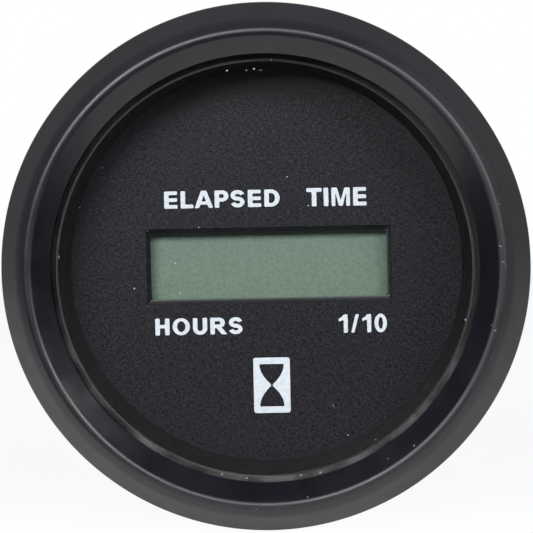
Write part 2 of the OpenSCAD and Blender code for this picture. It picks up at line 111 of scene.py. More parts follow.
# Faces along each of its roundings and round its axis, how far past a rounding a straight run gets a point
# that keeps it flat, and the angle from which an edge is sharp
ARC_STEPS = 20
TURN_STEPS = 288
FLAT_START = 0.08
SHARP_ANGLE = math.radians(30)

# Dial print: thickness of the ink, and stems, bars, spaces and softened corners in letter heights. A corner
# blunter than the angle stays as it is.
INK_T = 0.03
STEM = 0.235
BAR = 0.21
TRACKING = 0.16
INK_ROUND = 0.06
BLUNT_ANGLE = math.radians(150)
LEGENDS = [
    {"name": "elapsed_legend", "text": "ELAPSED", "left": -11.5, "right": 1.7, "foot": 6.72, "height": 1.97},
    {"name": "time_legend", "text": "TIME", "left": 4.75, "right": 11.6, "foot": 6.65, "height": 2.1},
    {"name": "hours_legend", "text": "HOURS", "left": -12.85, "right": -2.85, "foot": -7.78, "height": 1.92},
    {"name": "tenths_legend", "text": "1/10", "left": 8.15, "right": 13.65, "foot": -7.88, "height": 2.1},
]

# Hourglass sign: its plate, and the glass that is left open in it
SYMBOL = {"middle": (0.36, -13.74), "width": 4.18, "height": 6.36, "corner": 0.3}
GLASS_HALF_W = 1.39
GLASS_HALF_H = 2.44
GLASS_NECK = 0.09
GLASS_ROUND = 0.06
GLASS_STEPS = 16

# Values of a noise texture, or of two that are added up, which are spread over a whole drift of tone
NOISE_SPAN = (0.3, 0.7)
SHARP_SPAN = (0.35, 0.65)
LAYER_SPAN = (0.42, 0.58)
WEAVE_SPAN = (0.8, 1.2)
CLOTH_SPAN = (0.75, 1.25)

# Seed of the noise in roughness, how far greys drift from their tone, the shares of a metal's roughness
# between which it drifts, and the length of a woven thread in pitches with its depth
ROUGHNESS_SEED = 7.0
GREY_DRIFT = 0.2
METAL_DRIFT = (0.8, 1.25)
WEAVE_STRETCH = 4
WEAVE_THROUGH = 1

# Dial plate: pitch, tones, roughness and relief of its weave, depths of the window's bevel over which painted
# light sets in with the lighter tones there, the way toward the lamps that the painted faces turn and the
# slope at which they are lightest
WEAVE = 0.12
WEAVE_TONES = ((0.0002, 0.0002, 0.003), (0.005, 0.005, 0.011))
WEAVE_ROUGHNESS = (0.3, 0.4)
WEAVE_DEPTH = 0.014
BEVEL_PAINTED_LIGHT_DEPTH = (0.01, 0.05)
BEVEL_PAINTED_LIGHT_TONE = (0.022, 0.022, 0.025)
CUT_EDGE_PAINTED_LIGHT_DEPTH = (0.2, 0.5)
CUT_EDGE_PAINTED_LIGHT = (0.1, 0.115, 0.112)
PAINTED_LIGHT_SIDE = (-0.5, 0, 1)
PAINTED_LIGHT_SLOPE = math.radians(45)

# Display film: the heights between which its tone changes, its tones there, and a darker grain with its cover
FILM_HEIGHTS = (-4.5, 4.5)
FILM_TONES = ((0.149, 0.219, 0.161), (0.147, 0.206, 0.174))
FILM_GRAIN = (0.105, 0.16, 0.12)
FILM_GRAIN_COVER = 0.6

# Lens: its tones and polish, and the edge of its raised centre, dulled by cleaning: where that sets in, in
# millimetres from the axis, and how rough it is
LENS_IOR = 1.49
LENS_TONES = ((0.965, 0.975, 0.975), (0.98, 0.985, 0.985))
LENS_POLISH = (0.01, 0.03)
WORN_EDGE = (23.32, 23.37)
WORN_ROUGHNESS = 0.7

# Dusty groove round the lens, heavier toward the bottom, where it is also painted light for the glow of lamp
# light
# led through the lens edge: where the dust sets in, in millimetres from the axis, its cover and tone, the
# heights over which it thins upward, and its share above them
GROOVE = (23.58, 23.63)
GROOVE_DUST_AND_GLOW = (0.015, 0.1)
GROOVE_DUST_AND_GLOW_TONE = (0.45, 0.44, 0.42)
GROOVE_DUST_AND_GLOW_HEIGHTS = (-15, -2)
GROOVE_UPPER_DUST_AND_GLOW_SHARE = 0.1

# Bezel: its tones and roughness, the ridge and outside that handling dulled, most of all on the right, and
# how much rougher they are left and right
BEZEL_TONES = ((0.004, 0.0039, 0.0075), (0.006, 0.0059, 0.0105))
BEZEL_ROUGHNESS = (0.2, 0.26)
RUBBED_RIDGE = (26.1, 26.35)
HANDLED_SIDE = (8, 24)
RUBBED_ROUGHNESS = (0.18, 0.3)

# Specks of dust, two of them painted glints at the window's corners, and scuffs of the bezel: what carries
# them, middle, length, width and slant in degrees
DUST_AND_GLINTS = [
    ("lcd_front_polariser", (-10.5, 0.4), 0.26, 0.22, 0),
    ("lcd_front_polariser", (-10, -3.1), 0.24, 0.22, 40),
    ("dial_plate", (4.95, 6.74), 0.2, 0.17, 0),
    # A pale grain at the window's top-left corner: a painted glint.
    ("dial_plate", (-13.47, 4.2), 0.22, 0.18, 30),
    ("dial_plate", (-7.63, 4.51), 0.18, 0.14, 0),
    # A pale grain at the window's bottom-right corner: a painted glint.
    ("dial_plate", (13.92, -3.69), 0.24, 0.16, 60),
    ("lens", (-14.77, -1.93), 0.22, 0.2, 0),
    ("lens", (2.7, 10.3), 0.16, 0.14, 0),
    ("lens", (-3.77, 22.37), 0.26, 0.16, 20),
    ("lens", (-1.6, 22.35), 0.14, 0.12, 0),
    ("lens", (-0.73, 22.5), 0.28, 0.16, -15),
    ("lens", (0, 22.35), 0.5, 0.04, 5),
    ("lens", (1.16, 23.5), 0.24, 0.18, 0),
    ("lens", (-23.2, 1.8), 0.3, 0.12, 90),
    ("lens", (-20.7, 7.3), 0.12, 0.09, 0),
    ("lens", (-18.05, 11.75), 0.14, 0.07, 80),
    ("lens", (-18, 6.9), 0.1, 0.08, 0),
    ("lens", (7.4, -15.6), 0.65, 0.04, -70),
    ("lens", (9, -19), 0.16, 0.14, 0),
    ("lens", (12.1, -19.6), 0.16, 0.14, 0),
    ("lens", (3.6, -23.6), 0.22, 0.18, 0),
    ("lens", (5.75, -23.3), 0.22, 0.18, 30),
    ("lens", (-5.4, -23.3), 0.2, 0.16, 0),
    ("lens", (-2.6, -23.8), 0.18, 0.16, 0),
    ("lens", (22.45, -6.19), 0.22, 0.2, 0),
]
SCUFFS = [
    ("bezel", (16.4, -20.1), 0.3, 0.26, 0),
    ("bezel", (13.4, -21.6), 0.32, 0.12, 60),
    ("bezel", (4.3, -25.7), 0.2, 0.18, 0),
    ("bezel", (-1.5, -27), 0.2, 0.18, 0),
    ("bezel", (7.1, -28.4), 0.4, 0.1, 75),
    ("bezel", (7.4, -28.2), 0.45, 0.1, -10),
    ("bezel", (26.43, 2.15), 0.6, 0.16, -20),
    ("bezel", (26.75, 0.36), 0.5, 0.14, -15),
    ("bezel", (27, 0.05), 0.3, 0.12, -60),
    ("bezel", (25.7, -7.3), 0.26, 0.2, 0),
    ("bezel", (25.3, -6.7), 0.22, 0.16, 0),
    ("bezel", (25.9, -5.2), 0.3, 0.14, 70),
    ("bezel", (26.4, 6.9), 0.26, 0.2, 0),
    ("bezel", (25.2, -10.4), 0.24, 0.2, 0),
    ("bezel", (-15.1, 24.7), 0.22, 0.18, 0),
    ("bezel", (-8.8, 28.1), 0.22, 0.18, 0),
]
DUST_AND_GLINT_TONE = 0.5
SCUFF_TONE = 0.2

# One grain: the corners of its outline and how uneven they are, how far it stands out and how far it sinks in
DUST_CORNERS = 8
DUST_UNEVEN = (0.75, 1.15)
DUST_HEIGHT = 0.04
DUST_SINK = 0.01
DUST_SEED = 4

# Mounting studs with an M4 thread, of whose pitch the crest takes a share
PITCH = 0.7 * MM
THREAD_R = 2 * MM
THREAD_DEPTH = 0.43 * MM
CREST_SHARE = 0.2
END_CHAMFER = 0.6 * MM
SHANK_R = 1.775 * MM
HEAD_T = 2.4 * MM
HEAD_SIDES = 6
STEPS_PER_TURN = 40
ROWS_PER_PITCH = 8


# Node building

def new_material(name, base, rough, metallic=0.0, specular=0.5):
    """A material with one shader, and its node tree and shader."""
    material = bpy.data.materials.new(name)
    material.use_nodes = True
    tree = material.node_tree
    shader = tree.nodes["Principled BSDF"]
    shader.inputs["Base Color"].default_value = (*base, 1)
    shader.inputs["Roughness"].default_value = rough
    shader.inputs["Metallic"].default_value = metallic
    shader.inputs["Specular IOR Level"].default_value = specular
    return material, tree, shader


def surface_place(tree):
    """The place on the object in millimetres."""
    place = tree.nodes.new("ShaderNodeTexCoord")
    scale = tree.nodes.new("ShaderNodeVectorMath")
    scale.operation = "SCALE"
    scale.inputs["Scale"].default_value = 1 / MM
    tree.links.new(place.outputs["Object"], scale.inputs[0])
    return scale.outputs["Vector"]


def place_axes(tree):
    """The place on the object in millimetres, as one socket for each of X, Y and Z."""
    split = tree.nodes.new("ShaderNodeSeparateXYZ")
    tree.links.new(surface_place(tree), split.inputs["Vector"])
    return split.outputs


def axis_distance(tree):
    """Distance from the dial's axis in millimetres."""
    axes = place_axes(tree)
    squares = [math_node(tree, "POWER", axes[name], 2.0) for name in ("X", "Z")]
    return math_node(tree, "SQRT", math_node(tree, "ADD", *squares), 0.0)


def noise(tree, size, detail=3.0, seed=0.0):
    """Noise with features of about this size in millimetres, which may differ along x, y and z."""
    sizes = size if isinstance(size, tuple) else (size, size, size)
    mapping = tree.nodes.new("ShaderNodeMapping")
    mapping.inputs["Location"].default_value = (seed, seed, seed)
    mapping.inputs["Scale"].default_value = [1 / s for s in sizes]
    texture = tree.nodes.new("ShaderNodeTexNoise")
    texture.inputs["Detail"].default_value = detail
    texture.inputs["Scale"].default_value = 1.0
    tree.links.new(surface_place(tree), mapping.inputs["Vector"])
    tree.links.new(mapping.outputs["Vector"], texture.inputs["Vector"])
    return texture.outputs["Fac"]


def math_node(tree, operation, a, b):
    """A math node on two sockets or numbers."""
    node = tree.nodes.new("ShaderNodeMath")
    node.operation = operation
    for socket, value in zip(node.inputs, (a, b)):
        if isinstance(value, (int, float)):
            socket.default_value = value
        else:
            tree.links.new(value, socket)
    return node.outputs["Value"]


def remap(tree, value, from_low, from_high, to_low=0.0, to_high=1.0):
    """The value moved from one range to another, smoothly and clamped."""
    node = tree.nodes.new("ShaderNodeMapRange")
    node.interpolation_type = "SMOOTHSTEP"
    ends = {"From Min": from_low, "From Max": from_high, "To Min": to_low, "To Max": to_high}
    for name, number in ends.items():
        node.inputs[name].default_value = number
    tree.links.new(value, node.inputs["Value"])
    return node.outputs["Result"]


def blend(tree, factor, a, b):
    """Colour a going over to colour b. Either may be a socket."""
    node = tree.nodes.new("ShaderNodeMix")
    node.data_type = "RGBA"
    tree.links.new(factor, node.inputs["Factor"])
    for name, value in (("A", a), ("B", b)):
        socket = [s for s in node.inputs if s.name == name and s.type == "RGBA"][0]
        if isinstance(value, tuple):
            socket.default_value = (*value, 1)
        else:
            tree.links.new(value, socket)
    return [s for s in node.outputs if s.type == "RGBA"][0]


def bump(tree, shader, height, depth):
    """Relief of this depth in millimetres on the shader."""
    node = tree.nodes.new("ShaderNodeBump")
    node.inputs["Distance"].default_value = depth * MM
    tree.links.new(height, node.inputs["Height"])
    tree.links.new(node.outputs["Normal"], shader.inputs["Normal"])


def mottle(tree, shader, dark, light, size):
    """Colour that drifts between two tones over about this size in millimetres."""
    drift = remap(tree, noise(tree, size), *NOISE_SPAN)
    tree.links.new(blend(tree, drift, dark, light), shader.inputs["Base Color"])


def roughness_drift(tree, low, high, size):
    """Roughness that drifts between two values over about this size in millimetres."""
    return remap(tree, noise(tree, size, seed=ROUGHNESS_SEED), *NOISE_SPAN, low, high)


def vary_roughness(tree, shader, low, high, size):
    """Gives the shader a roughness that drifts."""
    tree.links.new(roughness_drift(tree, low, high, size), shader.inputs["Roughness"])


def cross_weave(tree, pitch, detail, seed):
    """Threads across and upright at this pitch in millimetres, added up."""
    length = pitch * WEAVE_STRETCH
    across = noise(tree, (length, WEAVE_THROUGH, pitch), detail)
    upright = noise(tree, (pitch, WEAVE_THROUGH, length), detail, seed)
    return math_node(tree, "ADD", across, upright)


def mix_shaders(tree, factor, first, second):
    """Makes the surface go over from the first shader to the second."""
    mix = tree.nodes.new("ShaderNodeMixShader")
    tree.links.new(factor, mix.inputs["Fac"])
    tree.links.new(first.outputs[0], mix.inputs[1])
    tree.links.new(second.outputs[0], mix.inputs[2])
    tree.links.new(mix.outputs["Shader"], tree.nodes["Material Output"].inputs["Surface"])


def greys(tone):
    """A darker and a lighter grey round this one."""
    return (tone * (1 - GREY_DRIFT),) * 3, (tone * (1 + GREY_DRIFT),) * 3


def plain_finish(name, base, rough, tones, tone_size, roughness, rough_size, grain, detail, depth, **kind):
    """A finish of two drifting tones, a drifting roughness and a fine relief, with sizes in millimetres."""
    material, tree, shader = new_material(name, base, rough, **kind)
    mottle(tree, shader, *tones, tone_size)
    vary_roughness(tree, shader, *roughness, rough_size)
    bump(tree, shader, noise(tree, grain, detail), depth)
    return material


# Finishes

def bezel_black():
    """Satin moulded plastic with a fine grain and smudges, its ridge and outside dulled by handling."""
    material, tree, shader = new_material("bezel_black", (0.005, 0.005, 0.0053), rough=0.4, specular=0.73)
    mottle(tree, shader, *BEZEL_TONES, size=5)
    smudge = roughness_drift(tree, *BEZEL_ROUGHNESS, size=3.5)
    handled = remap(tree, place_axes(tree)["X"], *HANDLED_SIDE, *RUBBED_ROUGHNESS)
    rubbed = math_node(tree, "MULTIPLY", remap(tree, axis_distance(tree), *RUBBED_RIDGE), handled)
    tree.links.new(math_node(tree, "ADD", rubbed, smudge), shader.inputs["Roughness"])
    bump(tree, shader, noise(tree, size=0.16, detail=2), depth=0.003)
    return material


def moulded_black():
    """Case plastic with a spark-eroded texture."""
    return plain_finish(
        "moulded_black", base=(0.014, 0.014, 0.015), rough=0.5,
        tones=((0.011, 0.011, 0.0115), (0.017, 0.017, 0.0178)), tone_size=6,
        roughness=(0.46, 0.6), rough_size=2.5, grain=0.22, detail=4, depth=0.02)


def ring_black():
    """Dull black of the wall between lens and dial."""
    return plain_finish(
        "ring_black", base=(0.008, 0.008, 0.009), rough=0.55, specular=0.3,
        tones=((0.004, 0.004, 0.0045), (0.007, 0.007, 0.008)), tone_size=3,
        roughness=(0.5, 0.62), rough_size=1.5, grain=0.12, detail=2, depth=0.004)


def painted_light_side(tree):
    """How far a surface faces up, and half as much how far it faces left, toward the lamps: where painted
    light goes.
    """
    shape = tree.nodes.new("ShaderNodeNewGeometry")
    facing = tree.nodes.new("ShaderNodeVectorMath")
    facing.operation = "DOT_PRODUCT"
    facing.inputs[1].default_value = PAINTED_LIGHT_SIDE
    tree.links.new(shape.outputs["True Normal"], facing.inputs[0])
    return remap(tree, facing.outputs["Value"], 0, math.sin(PAINTED_LIGHT_SLOPE))


def dial_black():
    """Matte printed black with a fine linen weave, and painted light on the window's bevel, lighter on its
    faces toward the lamps.
    """
    material, tree, shader = new_material("dial_black", (0.002, 0.002, 0.003), rough=0.36, specular=0.7)
    weave = cross_weave(tree, WEAVE, detail=2, seed=3.0)
    thread = remap(tree, weave, *WEAVE_SPAN)
    colour = blend(tree, thread, *WEAVE_TONES)
    depth = math_node(tree, "SUBTRACT", place_axes(tree)["Y"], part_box("dial_plate")[0].y / MM)
    # Painted light: bevel faces that look up, and less those that look left, toward the lamps, are lightened,
    # most of all deeper in.
    facing_lamps = painted_light_side(tree)
    bevel_painted_light = math_node(tree, "MULTIPLY", facing_lamps, remap(tree, depth, *BEVEL_PAINTED_LIGHT_DEPTH))
    edge = math_node(tree, "MULTIPLY", facing_lamps, remap(tree, depth, *CUT_EDGE_PAINTED_LIGHT_DEPTH))
    painted_edge_colour = blend(tree, edge, blend(tree, bevel_painted_light, colour, BEVEL_PAINTED_LIGHT_TONE), CUT_EDGE_PAINTED_LIGHT)
    tree.links.new(painted_edge_colour, shader.inputs["Base Color"])
    bump(tree, shader, weave, WEAVE_DEPTH)
    tree.links.new(remap(tree, thread, 0, 1, *WEAVE_ROUGHNESS), shader.inputs["Roughness"])
    return material


def white_ink():
    """Screen-printed white with slightly uneven cover."""
    return plain_finish(
        "white_ink", base=(0.61, 0.66, 0.72), rough=0.5, specular=0.3,
        tones=((0.6, 0.65, 0.715), (0.68, 0.735, 0.79)), tone_size=0.35,
        roughness=(0.45, 0.6), rough_size=0.5, grain=0.2, detail=2, depth=0.006)


def pale_grain(name, tone):
    """Dull pale grains."""
    return plain_finish(
        name, base=(tone, tone, tone), rough=0.9, specular=0.2, tones=greys(tone), tone_size=0.1,
        roughness=(0.8, 0.95), rough_size=0.2, grain=0.03, detail=2, depth=0.01)


def display_film():
    """Grey-green polariser, a little yellower toward its lower edge."""
    material, tree, shader = new_material("display_film", (0.14, 0.2, 0.16), rough=0.42, specular=0.35)
    fall = blend(tree, remap(tree, place_axes(tree)["Z"], *FILM_HEIGHTS), *FILM_TONES)
    grain = remap(tree, noise(tree, size=0.3), *SHARP_SPAN, 0, FILM_GRAIN_COVER)
    tree.links.new(blend(tree, grain, fall, FILM_GRAIN), shader.inputs["Base Color"])
    vary_roughness(tree, shader, low=0.38, high=0.5, size=2)
    bump(tree, shader, noise(tree, size=0.1, detail=2), depth=0.002)
    return material


def let_lamps_through(tree, shader):
    """Mixes in a see-through shader for rays from what is behind, so that lamps light it once."""
    path = tree.nodes.new("ShaderNodeLightPath")
    clear = tree.nodes.new("ShaderNodeBsdfTransparent")
    bounced = math_node(tree, "MAXIMUM", path.outputs["Is Diffuse Ray"], path.outputs["Is Glossy Ray"])
    passing = math_node(tree, "MAXIMUM", path.outputs["Is Shadow Ray"], bounced)
    mix_shaders(tree, passing, shader, clear)


def clear_lens():
    """Polished acrylic, dulled along its raised edge, with pale dust in the groove along the bezel, heavier
    toward the bottom, where it is also painted light.
    """
    material, tree, shader = new_material("clear_lens", (0.97, 0.98, 0.98), rough=0.02)
    shader.inputs["IOR"].default_value = LENS_IOR
    shader.inputs["Transmission Weight"].default_value = 1.0
    # The groove's pale cover is dust and painted light: heavier toward the bottom, where the groove is lit,
    # and thin at the top, where it lies in shade.
    groove = remap(tree, axis_distance(tree), *GROOVE)
    low = remap(tree, place_axes(tree)["Z"], *GROOVE_DUST_AND_GLOW_HEIGHTS, 1, GROOVE_UPPER_DUST_AND_GLOW_SHARE)
    cover = remap(tree, noise(tree, size=4, detail=5, seed=2.0), *SHARP_SPAN, *GROOVE_DUST_AND_GLOW)
    dust_and_painted_light = math_node(tree, "MULTIPLY", groove, math_node(tree, "MULTIPLY", low, cover))
    clear = blend(tree, noise(tree, size=6), *LENS_TONES)
    tree.links.new(blend(tree, dust_and_painted_light, clear, GROOVE_DUST_AND_GLOW_TONE), shader.inputs["Base Color"])
    tree.links.new(math_node(tree, "SUBTRACT", 1.0, dust_and_painted_light), shader.inputs["Transmission Weight"])
    polish = roughness_drift(tree, *LENS_POLISH, size=4)
    edge = math_node(tree, "SUBTRACT", remap(tree, axis_distance(tree), *WORN_EDGE), groove)
    worn = math_node(tree, "MULTIPLY", edge, WORN_ROUGHNESS)
    tree.links.new(math_node(tree, "MAXIMUM", polish, worn), shader.inputs["Roughness"])
    let_lamps_through(tree, shader)
    return material


def display_glass():
    """Thin clear glass of the display cell."""
    material, tree, shader = new_material("display_glass", (0.85, 0.92, 0.88), rough=0.03)
    shader.inputs["Transmission Weight"].default_value = 1.0
    mottle(tree, shader, dark=(0.82, 0.9, 0.86), light=(0.88, 0.95, 0.91), size=4)
    vary_roughness(tree, shader, low=0.02, high=0.05, size=3)
    let_lamps_through(tree, shader)
    return material


def rubber(name, tone):
    """Matte black rubber with a fine skin."""
    return plain_finish(
        name, base=(tone, tone, tone), rough=0.75, specular=0.25, tones=greys(tone), tone_size=1.5,
        roughness=(0.68, 0.85), rough_size=0.8, grain=0.1, detail=3, depth=0.008)


def strip_rubber():
    """Rubber with fine conducting layers across its length."""
    material, tree, shader = new_material("strip_rubber", (0.05, 0.05, 0.055), rough=0.7, specular=0.25)
    layers = remap(tree, noise(tree, size=(0.06, 4, 4), detail=1), *LAYER_SPAN)
    colour = blend(tree, layers, (0.02, 0.02, 0.022), (0.09, 0.09, 0.1))
    tree.links.new(colour, shader.inputs["Base Color"])
    vary_roughness(tree, shader, low=0.6, high=0.8, size=1)
    return material


def reflector_film():
    """Silvered film with a fine diffusing grain."""
    return plain_finish(
        "reflector_film", base=(0.5, 0.52, 0.5), rough=0.4, metallic=0.6,
        tones=((0.44, 0.47, 0.45), (0.55, 0.57, 0.55)), tone_size=1,
        roughness=(0.34, 0.48), rough_size=0.6, grain=0.08, detail=2, depth=0.003)


def board_green():
    """Solder mask over woven glass cloth."""
    material, tree, shader = new_material("board_green", (0.02, 0.13, 0.05), rough=0.35)
    cloth = cross_weave(tree, pitch=0.3, detail=1, seed=4.0)
    colour = blend(tree, remap(tree, cloth, *CLOTH_SPAN), (0.014, 0.1, 0.038), (0.026, 0.16, 0.062))
    tree.links.new(colour, shader.inputs["Base Color"])
    vary_roughness(tree, shader, low=0.28, high=0.42, size=2)
    bump(tree, shader, cloth, depth=0.01)
    return material


def chip_black():
    """Moulding compound with a fine blasted surface."""
    return plain_finish(
        "chip_black", base=(0.02, 0.02, 0.022), rough=0.6,
        tones=((0.016, 0.016, 0.018), (0.026, 0.026, 0.028)), tone_size=1,
        roughness=(0.52, 0.68), rough_size=0.8, grain=0.06, detail=3, depth=0.006)


def worked_metal(name, dark, light, rough, streak):
    """Bare or plated metal with drawing streaks of the given sizes."""
    return plain_finish(
        name, base=dark, rough=rough, metallic=1.0, tones=(dark, light), tone_size=1.8,
        roughness=[rough * share for share in METAL_DRIFT], rough_size=0.9,
        grain=streak, detail=2, depth=0.003)


def fired_clay():
    """Dull fired ceramic."""
    return plain_finish(
        "fired_clay", base=(0.36, 0.25, 0.14), rough=0.6,
        tones=((0.32, 0.22, 0.12), (0.4, 0.28, 0.16)), tone_size=0.5,
        roughness=(0.5, 0.7), rough_size=0.4, grain=0.08, detail=3, depth=0.004)


def finishes():
    """The finish of each of the record's material slots."""
    return {
        "bezel_black": bezel_black(),
        "gasket_rubber": rubber("gasket_rubber", 0.012),
        "clear_lens": clear_lens(),
        "ring_black": ring_black(),
        "dial_black": dial_black(),
        "display_film": display_film(),
        "display_glass": display_glass(),
        "reflector_film": reflector_film(),
        "strip_rubber": strip_rubber(),
        "board_green": board_green(),
        "plated_steel": worked_metal(
            "plated_steel", dark=(0.52, 0.53, 0.54), light=(0.64, 0.65, 0.67), rough=0.3,
            streak=(0.5, 0.06, 0.5)),
        "chip_black": chip_black(),
        "can_metal": worked_metal(
            "can_metal", dark=(0.58, 0.59, 0.59), light=(0.66, 0.66, 0.66), rough=0.28,
            streak=(0.06, 0.9, 0.06)),
        "capacitor_can": worked_metal(
            "capacitor_can", dark=(0.6, 0.61, 0.63), light=(0.7, 0.71, 0.73), rough=0.32,
            streak=(0.06, 0.9, 0.06)),
        "fired_clay": fired_clay(),
        "case_black": moulded_black(),
        "blade_brass": worked_metal(
            "blade_brass", dark=(0.62, 0.47, 0.22), light=(0.76, 0.62, 0.34), rough=0.26,
            streak=(0.05, 1.2, 0.05)),
    }


def dress_frame(looks):
    """Gives every CAD node the finish of its slot in the record."""
    for subpart in frame["record"]["subparts"]:
        for slot in frame["nodes"][subpart["node"]].material_slots:
            slot.material = looks[subpart["material_slot"]]


# Pieces

def finished_mesh(name, build):
    """The mesh of what was built."""
    mesh = bpy.data.meshes.new(name)
    build.to_mesh(mesh)
    build.free()
    return mesh


def add_piece(name, mesh, look):
    """A mesh as a piece of the part, with its finish."""
    piece = bpy.data.objects.new(name, mesh)
    bpy.context.scene.collection.objects.link(piece)
    piece.data.materials.clear()
    piece.data.materials.append(look)
    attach(piece, "root")
    return piece


# Shapes of the dial's print. A letter is its width and its outlines, all in letter heights.

def arc(middle, rx, ry, start, end, steps=18):
    """Points along an ellipse, from one angle to another in degrees."""
    turns = [math.radians(start + (end - start) * i / steps) for i in range(steps + 1)]
    return [(middle[0] + rx * math.cos(t), middle[1] + ry * math.sin(t)) for t in turns]


def stroke(line, width):
    """Outline of a line drawn with a pen of this width."""
    sides = [], []
    for i, here in enumerate(line):
        ahead = Vector(line[min(i + 1, len(line) - 1)]) - Vector(line[max(i - 1, 0)])
        across = Vector((-ahead.y, ahead.x)).normalized() * width / 2
        sides[0].append(tuple(Vector(here) + across))
        sides[1].append(tuple(Vector(here) - across))
    return sides[0] + sides[1][::-1]


def soften(points, radius, steps=3):
    """The outline with each sharp corner rounded as ink spreads."""
    softened = []
    for i, here in enumerate(points):
        here = Vector(here)
        before, after = Vector(points[i - 1]) - here, Vector(points[(i + 1) % len(points)]) - here
        if before.angle(after, math.pi) > BLUNT_ANGLE:
            softened.append(tuple(here))
            continue
        reach = min(radius, before.length / 2, after.length / 2)
        start, end = here + before.normalized() * reach, here + after.normalized() * reach
        for k in range(steps + 1):
            t = k / steps
            softened.append(tuple(start * (1 - t) ** 2 + here * 2 * t * (1 - t) + end * t ** 2))
    return softened


def letter_e():
    w, mid = 0.68, 0.66
    low, high = (1 - BAR) / 2, (1 + BAR) / 2
    return w, [[(0, 0), (w, 0), (w, BAR), (STEM, BAR), (STEM, low), (mid, low), (mid, high), (STEM, high),
                (STEM, 1 - BAR), (mid, 1 - BAR), (mid, 1), (0, 1)]]


def letter_l():
    w = 0.64
    return w, [[(0, 0), (w, 0), (w, BAR), (STEM, BAR), (STEM, 1), (0, 1)]]


def letter_a():
    w, foot, top, lean = 0.94, 0.225, 0.14, 0.33
    low, high = 0.2, 0.38
    outside = [(0, 0), (foot, 0), (foot + lean * low, low), (w - foot - lean * low, low), (w - foot, 0),
               (w, 0), (w / 2 + top, 1), (w / 2 - top, 1)]
    peak = (w / 2 - foot) / lean
    inside = [(foot + lean * high, high), (w - foot - lean * high, high), (w / 2, peak)]
    return w, [outside, inside]


def letter_p():
    w, foot, bowl = 0.71, 0.35, 0.325
    middle = (w - bowl, 1 - bowl)
    inside = [(STEM, 1 - BAR)] + arc(middle, bowl - STEM, bowl - BAR, 90, -90) + [(STEM, foot + BAR)]
    return w, [[(0, 0), (STEM, 0), (STEM, foot)] + arc(middle, bowl, bowl, -90, 90) + [(0, 1)], inside]


def letter_r():
    w, bowl, leg = 0.86, 0.31, 0.27
    middle = (0.45, 1 - bowl)
    foot = 1 - 2 * bowl
    leg_start, bowl_start, meeting = 0.32, -55, (0.57, foot + 0.06)
    outside = [(0, 0), (STEM, 0), (STEM, foot), (leg_start, foot), (w - leg, 0), (w, 0), meeting]
    outside += arc(middle, bowl, bowl, bowl_start, 90) + [(0, 1)]
    inside = [(STEM, 1 - BAR)] + arc(middle, bowl - STEM, bowl - BAR, 90, -90) + [(STEM, foot + BAR)]
    return w, [outside, inside]


def letter_s():
    w, upper_end, lower_end = 0.72, 12, -168
    rx, ry = (w - STEM) / 2, (1 - BAR) / 4
    upper = arc((w / 2, 1 - ry - BAR / 2), rx, ry, upper_end, 270)
    lower = arc((w / 2, ry + BAR / 2), rx, ry, 90, lower_end)
    return w, [stroke(upper + lower[1:], (STEM + BAR) / 2)]


def letter_d():
    w, bowl = 0.78, 0.44
    outside = [(0, 0)] + arc((w - bowl, 0.5), bowl, 0.5, -90, 90) + [(0, 1)]
    inside = [(STEM, BAR)] + arc((w - bowl, 0.5), bowl - STEM, 0.5 - BAR, -90, 90) + [(STEM, 1 - BAR)]
    return w, [outside, inside]


def letter_t():
    w = 0.78
    left, right = (w - STEM) / 2, (w + STEM) / 2
    return w, [[(left, 0), (right, 0), (right, 1 - BAR), (w, 1 - BAR), (w, 1), (0, 1), (0, 1 - BAR),
                (left, 1 - BAR)]]


def letter_i():
    return STEM, [[(0, 0), (STEM, 0), (STEM, 1), (0, 1)]]


def letter_m():
    w, leg, point, shoulder = 0.94, 0.195, 0.1, 0.28
    notch, dip = 0.74, 0.3
    return w, [[(0, 0), (leg, 0), (leg, notch), (w / 2 - point, 0), (w / 2 + point, 0), (w - leg, notch),
                (w - leg, 0), (w, 0), (w, 1), (w - shoulder, 1), (w / 2, dip), (shoulder, 1), (0, 1)]]


def letter_h():
    w = 0.74
    low, high = 0.42, 0.62
    return w, [[(0, 0), (STEM, 0), (STEM, low), (w - STEM, low), (w - STEM, 0), (w, 0), (w, 1), (w - STEM, 1),
                (w - STEM, high), (STEM, high), (STEM, 1), (0, 1)]]


def round_letter(w, side):
    """O or 0: an oval with an oval counter."""
    middle, half_h, bar, steps = (w / 2, 0.5), 0.51, BAR * 0.9, 40
    outside = arc(middle, w / 2, half_h, 0, 360, steps)[:-1]
    inside = arc(middle, w / 2 - side, half_h - bar, 0, 360, steps)[:-1]
    return w, [outside, inside]


def letter_u():
    w, bend, overshoot = 0.74, 0.37, 0.01
    outside = [(0, 1)] + arc((w / 2, bend), w / 2, bend + overshoot, 180, 360) + [(w, 1), (w - STEM, 1)]
    return w, [outside + arc((w / 2, bend), w / 2 - STEM, bend - BAR, 0, -180) + [(STEM, 1)]]


def figure_1():
    w, stem = 0.44, 0.2
    flag = [(w - stem * 0.9, 1), (0.12, 0.83), (0, 0.79), (0, 0.61), (w - stem, 0.71)]
    return w, [[(w - stem, 0), (w, 0), (w, 1)] + flag]


def stroke_mark():
    w, pen = 0.39, 0.16
    return w, [[(0, 0), (pen, 0), (w, 1), (w - pen, 1)]]


LETTERS = {
    "E": letter_e, "L": letter_l, "A": letter_a, "P": letter_p, "S": letter_s, "D": letter_d, "T": letter_t,
    "I": letter_i, "M": letter_m, "H": letter_h, "O": lambda: round_letter(w=0.9, side=STEM), "U": letter_u,
    "R": letter_r, "1": figure_1, "/": stroke_mark, "0": lambda: round_letter(w=0.61, side=0.195),
}
# How much closer a letter stands to the one before it and the one after it
SIDE_TRIM = {"A": (0.05, 0.08), "L": (0, 0.04), "P": (0, 0.06), "R": (0, 0.06), "T": (0, 0.06)}


